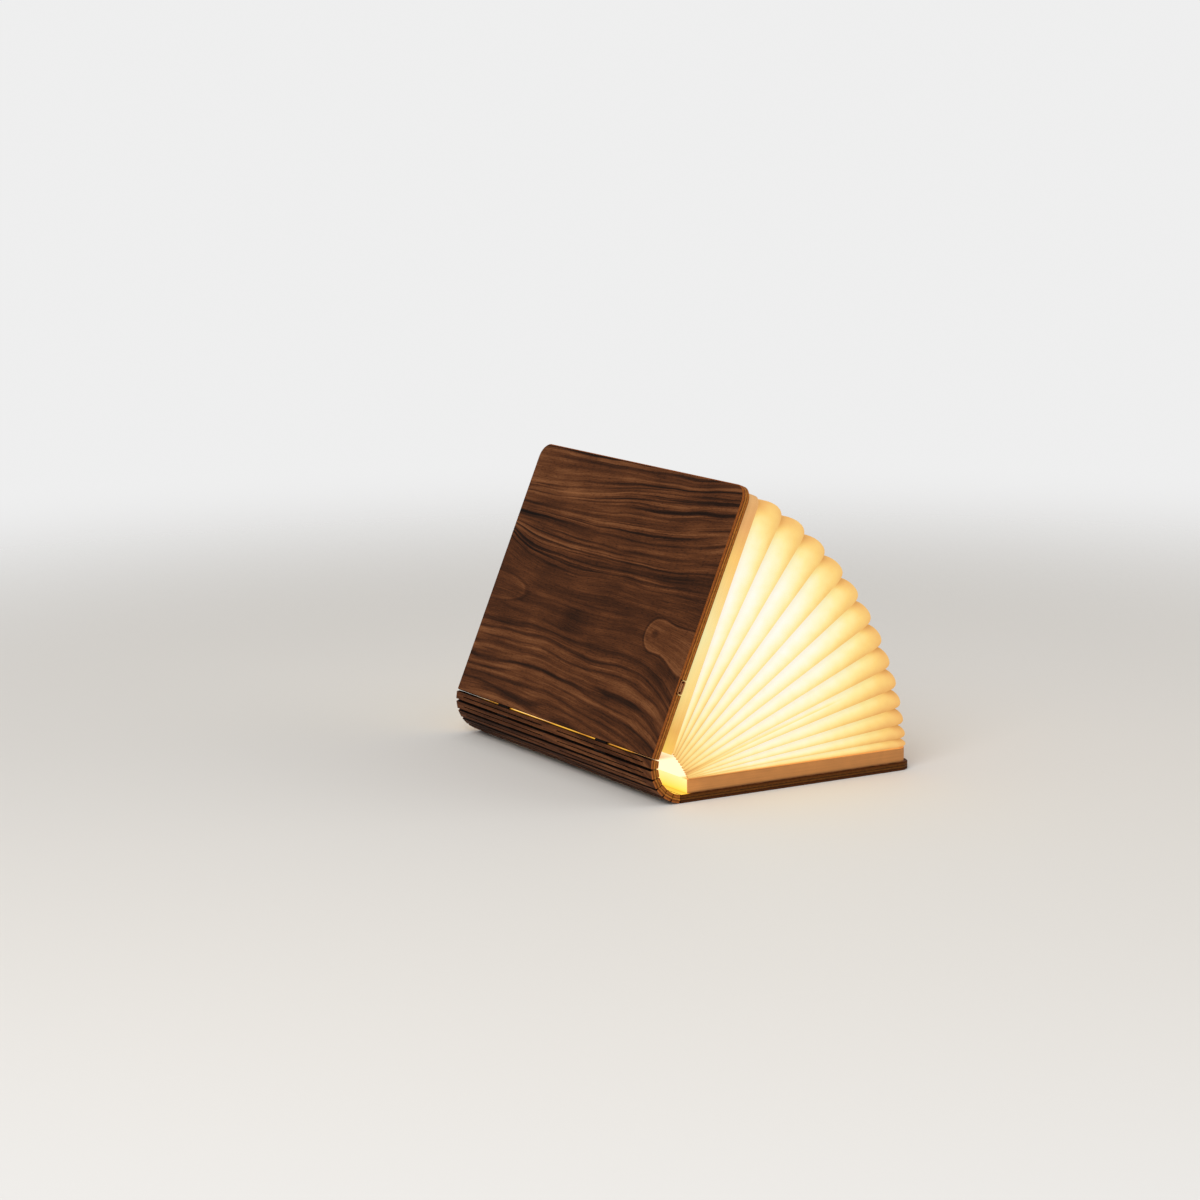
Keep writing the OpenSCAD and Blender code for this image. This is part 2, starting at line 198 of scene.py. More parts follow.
def new_material(name):
    """An empty node material and its tree, with the output node in place."""
    material = bpy.data.materials.new(name)
    material.use_nodes = True
    material.node_tree.nodes.clear()
    add(material.node_tree, "ShaderNodeOutputMaterial")
    return material, material.node_tree


def finish_material(tree, shader):
    """Joins the shader to the output."""
    output = next(node for node in tree.nodes if node.type == "OUTPUT_MATERIAL")
    tree.links.new(shader.outputs[0], output.inputs["Surface"])


def dress(names, material):
    """Gives a material to CAD nodes, through their own slots."""
    for name in names:
        piece = frame["nodes"][name]
        piece.data.materials.clear()
        piece.data.materials.append(material)
        piece.material_slots[0].material = material


# %% [markdown]
# ## Walnut veneer
# Black walnut is a brown wood with near-black latewood lines. A veneer is sliced flat, so its rings show as
# long lines that swing round knots. A ring is a line of equal level in the log, so the pattern starts from
# a level for each place. Six lines are drawn as curves along the grain, and the level is spread evenly
# between them. Noise that is stretched along the grain and read at that level gives the streaks, which then
# follow every swing. The veneer is oiled to a satin.

# %% Figure of the veneer
# Each line: its level in mm, and the places (along, across) that it runs through from the near end.
FIGURE = (
    (20, ((-112, 5), (-94, 12), (-53, 18), (0, 21), (57, 23), (112, 21))),
    (45, ((-112, 29), (-93, 38), (-64, 45), (-12, 44), (44, 47), (112, 43))),
    (92, ((-112, 94), (-60, 91), (-12, 90), (47, 89), (80, 92), (112, 101))),
    (110, ((-112, 118), (-53, 109), (0, 109), (53, 109), (112, 111))),
    (140, ((-112, 151), (-50, 147), (-3, 142), (51, 134), (112, 132))),
    (152, ((-112, 157), (-42, 152), (23, 151), (112, 150))),
)
FIGURE_END = 112  # the lines run between this far on both sides of the middle
FIGURE_WIDE = 200.0  # the curves hold across / FIGURE_WIDE
WARPS = (((34, 90, 1), 1.5, 5.0), ((10, 36, 1), 1.0, 1.5))  # waves of the lines: cells, detail, swing in mm
KNOT_AT, KNOT_R, KNOT_FLARE = (65.0, -76.0), 10.0, 8.0  # a round bulb that widens downwards to the near end
KNOT_EYE_AT, KNOT_EYE_SIZE = (66.0, -74.0), (2.2, 3.4)
FAR_KNOT_AT, FAR_KNOT_SIZE = (68.0, 112.0), (8.5, 38.0)
STAIN_AT, STAIN_SIZE = (58.0, 10.0), (9.0, 15.0)
CALM = (50.0, 90.0)  # the plain levels between the streaks
BAND_WIDTH, BAND_LENGTH = 5.6, 300.0
LINE_WIDTH, LINE_LENGTH = 2.1, 230.0
BUNDLE_WIDTH = 13.0
RING_WIDTH, RING_DRIFT = 6.2, 2.5  # the even rings of the lower figure, and how many they drift by
HAIR_WIDTH, HAIR_LENGTH = 0.45, 22.0
PORE_WIDTH, PORE_LENGTH = 0.28, 3.5


# %% Helpers for fields of numbers
def chained(tree, first, *steps):
    """A formula as a row of Math nodes: each step names an operation and its other inputs."""
    for operation, *others in steps:
        first = add(tree, MATH, [first, *others], operation=operation)
    return first


def product(tree, first, *others):
    """Several numbers multiplied."""
    return chained(tree, first, *(("MULTIPLY", other) for other in others))


def length_of(tree, x, y):
    """The length of a vector of two parts."""
    return chained(tree, product(tree, x, x), ("ADD", product(tree, y, y)), ("SQRT",))


def grain(tree, place, sizes, detail, roughness=0.5, **settings):
    """Noise whose cells have the given sizes, in the unit of the place."""
    at = add(tree, VECTOR, [place, [1 / size for size in sizes]], operation="MULTIPLY")
    values = {"Vector": at, "Scale": 1.0, "Detail": detail, "Roughness": roughness}
    return add(tree, NOISE, values, **settings)


def place_in_sheet(tree, step):
    """A body's place in the flat sheet, in millimetres, and the three parts of that place."""
    turn, shift = sheet_mapping(step)
    where = add(tree, COORDINATES).outputs["Object"]
    place = add(tree, "ShaderNodeMapping", {
        "Vector": where, "Location": shift, "Rotation": (0, turn, 0), "Scale": (1 / MM, 1 / MM, 1 / MM)})
    return (place, *add(tree, SEPARATE, [place]).outputs)


# %% The level of each place in the log
def veneer_level(tree, place, across, along):
    """The ring level of a place, in millimetres, by the drawn lines and a little noise."""
    for sizes, detail, swing in WARPS:
        warp = grain(tree, place, sizes, detail, **FLAT)
        across = chained(tree, warp, ("SUBTRACT", 0.5), ("MULTIPLY_ADD", swing, across))
    share = add(tree, RANGE, [along, -HALF_H, HALF_H])
    lines = []
    for level, points in FIGURE:
        shares = [((y + FIGURE_END) / (2 * FIGURE_END), u / FIGURE_WIDE) for y, u in points]
        lines.append((level, product(tree, add(tree, CURVE, {"Value": share}, shares), FIGURE_WIDE)))
    below = chained(tree, across, ("SUBTRACT", lines[0][1]), ("MINIMUM", 0.0), ("ADD", float(lines[0][0])))
    above = chained(tree, across, ("SUBTRACT", lines[-1][1]), ("MAXIMUM", 0.0))
    total = chained(tree, below, ("ADD", above))
    for (low, low_line), (high, high_line) in zip(lines, lines[1:]):
        part = add(tree, RANGE, [across, low_line, high_line, 0.0, float(high - low)])
        total = chained(tree, total, ("ADD", part))
    return total


def knot_distance(tree, across, along):
    """One on the near knot's outline, less inside it."""
    flare = add(tree, RANGE, [along, KNOT_AT[1] - 6, -HALF_H, KNOT_R - 0.6, KNOT_R + KNOT_FLARE], **SMOOTH)
    neck = add(tree, RANGE, [along, KNOT_AT[1] - 2, KNOT_AT[1] - 18, KNOT_R, KNOT_R - 2], **SMOOTH)
    sideways = chained(tree, across, ("SUBTRACT", KNOT_AT[0]))
    upper = chained(tree, sideways, ("MAXIMUM", 0.0), ("DIVIDE", neck))
    lower = chained(tree, sideways, ("MINIMUM", 0.0), ("DIVIDE", flare))
    sideways = chained(tree, upper, ("ADD", lower))
    ahead = chained(tree, along, ("SUBTRACT", KNOT_AT[1]), ("MAXIMUM", 0.0), ("DIVIDE", KNOT_R * 1.2))
    return length_of(tree, sideways, ahead)


def oval_distance(tree, across, along, centre, size):
    """One on an oval's outline, less inside it."""
    sideways = chained(tree, across, ("SUBTRACT", centre[0]), ("DIVIDE", size[0]))
    ahead = chained(tree, along, ("SUBTRACT", centre[1]), ("DIVIDE", size[1]))
    return length_of(tree, sideways, ahead)


# %% The veneer as a node group
def veneer_group():
    """A group that turns a place in the sheet, in millimetres, into veneer colour and tone."""
    tree = bpy.data.node_groups.new("walnut_veneer", "ShaderNodeTree")
    sockets(tree, "INPUT", Vector=["Place"])
    sockets(tree, "OUTPUT", Color=["Colour"], Float=["Tone"])
    place = add(tree, "NodeGroupInput").outputs["Place"]
    across, along, _ = add(tree, SEPARATE, [place]).outputs
    level = veneer_level(tree, place, across, along)
    rings = add(tree, COMBINE, [level, along])

    def streaks(width, length, detail):
        return grain(tree, rings, (width, length, 1), detail, 0.6, **FLAT)

    calm_from = add(tree, RANGE, [level, CALM[0] - 8, CALM[0] + 4], **SMOOTH)
    calm_to = add(tree, RANGE, [level, CALM[1] - 3, CALM[1] + 5, 1.0, 0.0], **SMOOTH)
    calm = product(tree, calm_from, calm_to)
    streaky = add(tree, RANGE, [level, 30.0, 95.0, 0.3, 1.0])
    # Fine lines come in bundles, with plainer wood between them.
    bundles = add(tree, RANGE, [streaks(BUNDLE_WIDTH, BAND_LENGTH, 1.0), 0.38, 0.6, 0.25, 1.15])
    line_height = product(tree, add(tree, RANGE, [calm, 0.0, 1.0, 1.0, 0.15]), streaky, bundles)
    band_height = add(tree, RANGE, [calm, 0.0, 1.0, 0.95, 0.3])
    bands = chained(tree, streaks(BAND_WIDTH, BAND_LENGTH, 2.0), ("SUBTRACT", 0.5),
                    ("MULTIPLY", band_height))
    dark_lines = add(tree, RANGE, [streaks(LINE_WIDTH, LINE_LENGTH, 2.0), 0.28, 0.54, -0.46, 0.1])
    tone = chained(tree, dark_lines, ("MULTIPLY_ADD", line_height, bands), ("ADD", 0.56))
    # Some levels of the log are lighter than others.
    zone = add(tree, RAMP, [chained(tree, level, ("DIVIDE", FIGURE_WIDE))], stops=[
        (0.2, "#808080"), (0.3, "#6e6e6e"), (0.44, "#6e6e6e"), (0.55, "#7c7c7c"), (0.7, "#8a8a8a")])
    tone = chained(tree, zone, ("SUBTRACT", 0.216), ("MULTIPLY_ADD", 1.2, tone))
    # The lower figure has even rings: a dark line, and a slow return to light.
    drift = product(tree, grain(tree, rings, (22, 120, 1), 1.0, **FLAT), RING_DRIFT)
    ring = chained(tree, level, ("DIVIDE", RING_WIDTH), ("ADD", drift), ("FRACT",))
    ring = add(tree, CURVE, {"Value": ring}, [
        (0.0, 0.15), (0.1, 0.0), (0.28, 0.55), (0.6, 1.0), (0.85, 0.8), (1.0, 0.15)])
    lower = add(tree, RANGE, [level, 56.0, 44.0, 0.05, 0.2])
    tone = chained(tree, ring, ("SUBTRACT", 0.6), ("MULTIPLY_ADD", lower, tone))
    # Hair lines, pores as short dark dashes, and clouds.
    hairs = chained(tree, streaks(HAIR_WIDTH, HAIR_LENGTH, 2.0), ("SUBTRACT", 0.5))
    dashes = add(tree, RANGE, [streaks(PORE_WIDTH, PORE_LENGTH, 1.0), 0.3, 0.42, -0.17, 0.0])
    tone = chained(tree, hairs, ("MULTIPLY_ADD", 0.4, tone), ("ADD", dashes))
    cloud = grain(tree, place, (16, 34, 1), 3.0, **FLAT)
    tone = chained(tree, cloud, ("SUBTRACT", 0.5), ("MULTIPLY_ADD", 0.3, tone))
    # Knots are a little lighter inside, with a pale rim and a soft dark edge. The near one has a dark eye.
    near_knot = knot_distance(tree, across, along)
    far_knot = oval_distance(tree, across, along, FAR_KNOT_AT, FAR_KNOT_SIZE)
    for distance, heart, rim, edge in ((near_knot, 0.15, 0.11, -0.14), (far_knot, 0.05, 0.06, -0.1)):
        from_rim = chained(tree, distance, ("SUBTRACT", 0.94), ("ABSOLUTE",))
        from_edge = chained(tree, distance, ("SUBTRACT", 1.08), ("ABSOLUTE",))
        for at, start, end, change in (
                (distance, 0.96, 1.02, heart), (from_rim, 0.0, 0.09, rim), (from_edge, 0.0, 0.1, edge)):
            tone = chained(tree, tone, ("ADD", add(tree, RANGE, [at, start, end, change, 0.0])))
    eye = oval_distance(tree, across, along, KNOT_EYE_AT, KNOT_EYE_SIZE)
    stain = oval_distance(tree, across, along, STAIN_AT, STAIN_SIZE)
    for at, start, end, change in ((eye, 0.2, 1.6, -0.22), (stain, 0.0, 1.4, -0.2)):
        tone = chained(tree, tone, ("ADD", add(tree, RANGE, [at, start, end, change, 0.0], **SMOOTH)))
    shade = add(tree, RAMP, [tone], stops=[
        (0.0, "#150904"), (0.25, "#2a160a"), (0.45, "#462511"), (0.62, "#5f351a"), (0.95, "#8b5833")])
    add(tree, "NodeGroupOutput", {"Colour": shade, "Tone": tone})
    return tree


VENEER = veneer_group()
print("veneer group has", len(VENEER.nodes), "nodes")

# %% [markdown]
# ## The cut edges of the plywood
# Plywood's edge shows its plies: two thin face veneers and a core of cross-laid layers, with the glue as
# thin dark lines between them. The laser scorches the cut, and it is nearly black in the kerfs. Depth in
# the sheet chooses between face and edge, because the faces are the only surfaces at depth zero and at full
# depth. The cavity's inner faces and the kerf row by the front cover catch the lamp's own light.

# %% Sizes of the glow in the wood
GLOW_REACH = 8.0  # how far past the kerf rows the cavity's light goes
KERF_GLOW_DEPTH = 1.0  # the light shows in a kerf below this depth
BRIDGE_HALF = 6.3  # half a bridge with its burnt ends
BRIDGE_AT = HALF_H / 2
KERF_GLOW_END = 92.0  # past this distance from the middle the kerf is dark
FACE_SKIN = (0.06, 0.03)  # a point is on the sheet's face from this close, in mm
CHAR_CELL, CHAR_SHIFT = (1.2, 1.2, 0.5), 0.5  # the scorching's grain, and how far it shifts the plies, in mm


# %% Walnut plywood for one body
def walnut_ply(step):
    """Laser-cut walnut plywood: satin veneer, charred layered edges, lit where the lamp shines on it."""
    material, tree = new_material("walnut_ply_" + CHAIN[step])
    place, across, along, up = place_in_sheet(tree, step)
    veneer = add(tree, "ShaderNodeGroup", {"Place": place}, node_tree=VENEER)
    depth = product(tree, up, -1.0)
    # The face mask: one at both faces of the sheet, nought on every cut.
    from_middle = chained(tree, depth, ("SUBTRACT", COVER_T / 2), ("ABSOLUTE",))
    face = add(tree, RANGE, [from_middle, *(COVER_T / 2 - skin for skin in FACE_SKIN)])
    char = grain(tree, place, CHAR_CELL, 3.0)
    level = chained(tree, char, ("MULTIPLY_ADD", CHAR_SHIFT, depth), ("DIVIDE", COVER_T + CHAR_SHIFT))
    plies = add(tree, RAMP, [level], stops=[
        (0.0, "#b06a34"), (0.12, "#a6602b"), (0.24, "#925023"), (0.31, "#4a240f"), (0.4, "#b06a29"),
        (0.5, "#c07a32"), (0.58, "#4a240f"), (0.66, "#b06c2a"), (0.84, "#a25b22"), (1.0, "#804417")])
    edge_shade = 0.29 if step == 0 else 1.0  # the back cover's edge is darkest: a painted shadow of its page block
    # The char varies in blotches; on the back cover they also carry that painted shadow.
    char_and_shade = add(tree, RANGE, [char, 0.35, 0.7, 0.65 * edge_shade, 1.15 * edge_shade])
    cut = add(tree, MIX, {0: 1.0, 6: plies, 7: char_and_shade}, **TINT).outputs[2]
    # In a kerf the char is nearly black.
    in_spine = add(tree, RANGE, [across, -ROWS * PITCH + 3.2, -ROWS * PITCH + 3.3])
    below_front = add(tree, RANGE, [across, 2.0, 2.1, 1.0, 0.0])
    aside = chained(tree, along, ("ABSOLUTE",))
    end_grain = add(tree, RANGE, [aside, HALF_H - 0.6, HALF_H - 0.5, 1.0, 0.0])
    charred = product(tree, in_spine, below_front, end_grain)
    cut = add(tree, MIX, {0: charred, 6: cut, 7: colour("#150c08")}, **BLEND).outputs[2]
    surface = add(tree, MIX, {0: face, 6: cut, 7: veneer.outputs["Colour"]}, **BLEND).outputs[2]
    # Light on the cavity's inner faces.
    inner = add(tree, RANGE, [depth, *(COVER_T - skin for skin in FACE_SKIN)])
    to_front = add(tree, RANGE, [across, GLOW_REACH, GLOW_REACH / 2], **SMOOTH)
    back_end = -(ROWS - 1) * PITCH
    to_back = add(tree, RANGE, [across, back_end - GLOW_REACH, back_end - GLOW_REACH / 2], **SMOOTH)
    cavity = product(tree, to_front, to_back, inner)
    # Light in the last kerf row, between its bridges.
    last_row = add(tree, RANGE, [chained(tree, across, ("ABSOLUTE",)), 1.6, 1.5])
    deep = add(tree, RANGE, [depth, KERF_GLOW_DEPTH, HINGE_DEPTH])
    past_bridge = chained(tree, aside, ("SUBTRACT", BRIDGE_AT), ("ABSOLUTE",))
    free = add(tree, RANGE, [past_bridge, BRIDGE_HALF, BRIDGE_HALF + 2])
    within = add(tree, RANGE, [aside, KERF_GLOW_END, KERF_GLOW_END - 14])
    near_side = add(tree, RANGE, [along, BRIDGE_AT - 4, BRIDGE_AT + 6, 1.0, 0.3])
    not_face = chained(tree, 1.0, ("SUBTRACT", face))
    uneven = add(tree, RANGE, [grain(tree, place, (math.inf, 26, math.inf), 1.0), 0.4, 0.55, 0.45, 1.0])
    leak = product(tree, last_row, deep, free, within, near_side, not_face, uneven)
    lit = chained(tree, cavity, ("MAXIMUM", leak))
    front_tone = add(tree, RAMP, [lit], stops=[(0.0, "#000000"), (0.5, "#d98f1c"), (1.0, "#ffcb45")])
    whiter = product(tree, add(tree, RANGE, [across, -ROWS * PITCH * 0.6, -2.0]), cavity)
    glow = add(tree, MIX, {0: whiter, 6: front_tone, 7: colour("#fff3c4")}, **BLEND).outputs[2]
    height = chained(tree, char, ("MULTIPLY_ADD", 0.4, product(tree, veneer.outputs["Tone"], face)))
    relief = add(tree, BUMP, {"Height": height, "Strength": 0.35, "Distance": 0.15 * MM})
    satin = add(tree, RANGE, [veneer.outputs["Tone"], 0.2, 0.8, 0.66, 0.54])
    finish_material(tree, add(tree, SHADER, {
        "Base Color": surface, "Roughness": satin, "Normal": relief, "IOR": 1.5,
        "Specular IOR Level": 0.06, "Emission Color": glow, "Emission Strength": 1.0}))
    return material


for step, body in enumerate(CHAIN):
    board = body if body.endswith("cover") else "spine_" + body
    dress([board], walnut_ply(step))
print("dressed the sheet's", len(CHAIN), "pieces")

# %% [markdown]
# ## The paper shade: its shape follows a rule
# The shade is one bellows. Its line runs along the near end, round the fore-edge and back along the far
# end, and thirteen pleats fold it in and out between the covers. Drawing 60,000 points by hand is out of
# the question, but the rule is short: take a grid, lay one way along that line, and let the other way be
# the place between the covers. Geometry Nodes hold that rule. The shade is made lying flat, with the place
# as its height, and is folded round the spine afterwards.

# %% Sizes of the shade
PLEATS = 13
PLEAT_STEPS = 16  # rows of faces in a pleat
SHADE_COLUMNS = 280  # columns of faces along the shade's line
PLEAT_DEPTH = 8.0
PLEAT_ROOT = 0.3  # share of the depth where a pleat starts at the spine
PLEAT_GROW = 60.0  # it has its full depth this far out
PLEAT_CROWD = 1.4  # pleats crowd towards the back cover
RIDGE_AT = 0.3  # a ridge lies this share of the way from its lower fold to its upper one
LEAN = math.log(RIDGE_AT) / math.log(0.5)
PLEAT_ROUND = 0.8  # at 1 a pleat is half an oval, below it the ridge is squarer
SHADE_R, FOLD_R = 8.0, 3.0  # corner radius of the ridges, and of the folds
SHADE_INSET = 0.9  # ridges stay this far inside the covers
PAPER_T = 0.12  # thin enough to lie flat in the shut book
PAPER_WAVE = 0.35  # how far the paper waves out of its folds
WAVE_CELLS = 55.0  # cells of that wave in a metre
FLAT_ROW = 10.0  # height of one kerf row's share while the shade lies flat
ROOT_GAP = 1.0  # from a page block's spine end to the start of the shade

block_low, block_high = corners_mm("back_page_block")
SHADE_S0 = block_low[0] - SPINE_X + ROOT_GAP
SHADE_S1 = COVER_W - SHADE_INSET
SHADE_HALF = HALF_H - SHADE_INSET
print(f"shade: {SHADE_S1 - SHADE_S0:.1f} mm out from the spine, {2 * SHADE_HALF:.1f} mm along it")


# %% The shade's rule as Geometry Nodes
def shade_tree():
    """Pleats a grid along the line that comes in, between places 0 and the number of rows."""
    tree = bpy.data.node_groups.new("pleated_shade", "GeometryNodeTree")
    floats = ["Depth", "Root share", "Grow", "Crowding", "Lean", "Roundness", "Ridge radius", "Fold radius",
              "Start", "Rows", "Row height", "Wave"]
    sockets(tree, "INPUT", Geometry=["Geometry"], Int=["Pleats", "Steps", "Columns"], Float=floats,
            Material=["Paper"])
    sockets(tree, "OUTPUT", Geometry=["Geometry"])
    given = add(tree, "NodeGroupInput").outputs
    pleats, steps = given["Pleats"], given["Steps"]
    rows_of_faces = product(tree, pleats, steps)
    grid = add(tree, "GeometryNodeMeshGrid", {
        "Size X": 1.0, "Size Y": 1.0, "Vertices X": chained(tree, given["Columns"], ("ADD", 1.0)),
        "Vertices Y": chained(tree, rows_of_faces, ("ADD", 1.0))})
    at = add(tree, SEPARATE, [add(tree, "GeometryNodeInputPosition")]).outputs
    share = add(tree, MATH, [at["X"], 0.5], operation="ADD", use_clamp=True)
    # Which pleat a row is in, and its turn in that pleat from 0 to 1.
    row = chained(tree, at["Y"], ("ADD", 0.5), ("MULTIPLY", rows_of_faces), ("ROUND",))
    last = chained(tree, pleats, ("SUBTRACT", 1.0))
    pleat = chained(tree, row, ("DIVIDE", steps), ("FLOOR",), ("MINIMUM", last))
    angle = chained(tree, row, ("SUBTRACT", product(tree, pleat, steps)), ("DIVIDE", steps),
                    ("MULTIPLY", math.pi))
    turn = add(tree, RANGE, [chained(tree, angle, ("COSINE",)), 1.0, -1.0])
    # The folds on both sides of that pleat, and the place between them.
    fold_places = [
        chained(tree, pleat, ("ADD", after), ("DIVIDE", pleats), ("POWER", given["Crowding"]),
                ("MULTIPLY", given["Rows"]))
        for after in (0.0, 1.0)]
    leaning = chained(tree, turn, ("POWER", given["Lean"]))
    place = add(tree, RANGE, {"Value": leaning, 3: fold_places[0], 4: fold_places[1]})
    # Distance to the nearest fold, in rows.
    to_fold = chained(tree, place, ("SUBTRACT", fold_places[0]),
                      ("MINIMUM", chained(tree, fold_places[1], ("SUBTRACT", place))))
    # How far a point is folded in: nought on a ridge, one in a fold, less at the spine.
    bulge = chained(tree, angle, ("SINE",), ("MAXIMUM", 0.0))
    ridge = chained(tree, bulge, ("POWER", given["Roundness"]))
    # Two lines come in: the ridges run along the first and the folds along the second.
    drawn = add(tree, "GeometryNodeMeshToCurve", {"Mesh": given["Geometry"]})
    on_lines = []
    for number, radius in enumerate(("Ridge radius", "Fold radius")):
        line = add(tree, "GeometryNodeFilletCurve", {"Curve": drawn, "Count": 24, "Radius": given[radius]},
                   mode="POLY")
        on_lines.append(add(tree, "GeometryNodeSampleCurve", {
            "Curves": line, "Factor": share, "Curve Index": number}, mode="FACTOR").outputs["Position"])
    from_spine = add(tree, SEPARATE, [on_lines[0]]).outputs["X"]
    from_root = chained(tree, from_spine, ("SUBTRACT", given["Start"]))
    grown = add(tree, RANGE, [from_root, 0.0, given["Grow"], given["Root share"], 1.0], **SMOOTH)
    # Handling leaves soft waves in the paper, one set to each pleat.
    wave_at = add(tree, VECTOR, [on_lines[0], [WAVE_CELLS] * 3], operation="MULTIPLY")
    wave_at = add(tree, VECTOR, [wave_at, add(tree, COMBINE, {"Z": pleat})], operation="ADD")
    waves = add(tree, NOISE, {"Vector": wave_at, "Scale": 1.0, "Detail": 2.0})
    waves = chained(tree, waves, ("MULTIPLY", given["Wave"]), ("DIVIDE", given["Depth"]),
                    ("MULTIPLY", bulge))
    deep = chained(tree, 1.0, ("SUBTRACT", ridge), ("ADD", waves), ("MULTIPLY", grown))
    moved = add(tree, MIX, {0: deep, 4: on_lines[0], 5: on_lines[1]}, data_type="VECTOR").outputs[1]
    height = add(tree, COMBINE, {"Z": product(tree, place, given["Row height"])})
    moved = add(tree, VECTOR, [moved, height], operation="ADD")
    # The attributes are stored on the grid, before its points move.
    stored = grid
    reach = product(tree, from_spine, 1 / MM)
    for name, value in (("place", place), ("turn", turn), ("from_spine", reach), ("to_fold", to_fold)):
        stored = add(tree, "GeometryNodeStoreNamedAttribute",
                     {"Geometry": stored, "Name": name, "Value": value},
                     data_type="FLOAT", domain="POINT")
    pleated = add(tree, "GeometryNodeSetPosition", {"Geometry": stored, "Position": moved})
    real = add(tree, "GeometryNodeRealizeInstances", [pleated])
    papered = add(tree, "GeometryNodeSetMaterial", {"Geometry": real, "Material": given["Paper"]})
    add(tree, "NodeGroupOutput", [papered])
    return tree


SHADE_TREE = shade_tree()
print("shade tree has", len(SHADE_TREE.nodes), "nodes")


# %% Run a Geometry Nodes tree once
def grown_from(tree, base, name, **values):
    """Runs a tree on a base mesh with its inputs set by identifier, and returns the plain result."""
    piece = placed(name, base)
    modifier = piece.modifiers.new("rule", "NODES")
    modifier.node_group = tree
    for item in tree.interface.items_tree:
        key = item.name.replace(" ", "_").lower()
        if item.in_out == "INPUT" and key in values:
            modifier[item.identifier] = values[key]
    seen = piece.evaluated_get(bpy.context.evaluated_depsgraph_get())
    mesh = bpy.data.meshes.new_from_object(seen)
    piece.modifiers.remove(modifier)
    piece.data = mesh
    mesh.name = name
    return piece


# %% [markdown]
# ## Spun paper, lit from inside
# The shade is a spun paper that doesn't tear. It passes light and hides the lamp behind it, so it glows.
# The light bar lies by the spine and shines outwards, so the paper is nearly white between the covers and in
# the middle of the fore-edge. It is warm and dim towards the corners and on the pleats by the back cover.
# The folds are double paper and show as thin dim lines. A share of the colour is in the surface and the rest
# in the emission, which keeps form in the folds.

# %% Shade paper
BODY_SHARE = 0.2  # share of the paper's colour that needs light from outside
GLOW_SHARE = 0.83  # share that the paper gives by itself
FOLD_LINE = (0.22, 0.8)  # width of a fold's dim line in mm, at the spine and at the fore-edge
FOLD_DIM = 0.22  # how much light it loses there
STRAY_PLACE = 1.672  # one pleat has a stray crease here, in rows from the back cover
# The glow along the shade under each pleat's upper fold, as (share of the way out, light).
GLOW_OUTWARDS = ((0.0, 0.55), (0.056, 0.66), (0.156, 0.85), (0.29, 0.97), (0.49, 1.0), (0.69, 1.0),
                 (0.85, 0.86), (0.92, 0.68), (0.966, 0.5), (1.0, 0.4))
# What is lost down at its lower fold.
UNDER_DIM = ((0.0, 0.4), (0.15, 0.5), (0.3, 0.5), (0.5, 0.46), (0.7, 0.48), (0.85, 0.5), (0.92, 0.34),
             (0.97, 0.16), (1.0, 0.08))
# What the pleats near the back cover lose, as (share of the way to the front cover, light), and where.
DIM_BY_PLACE = ((0.0, 0.3), (0.09, 0.28), (0.21, 0.2), (0.36, 0.1), (0.53, 0.0), (1.0, 0.0))
DIM_OUTWARDS = ((0.0, 0.0), (0.3, 0.08), (0.5, 0.25), (0.7, 0.65), (0.86, 0.75), (0.95, 0.5), (1.0, 0.35))


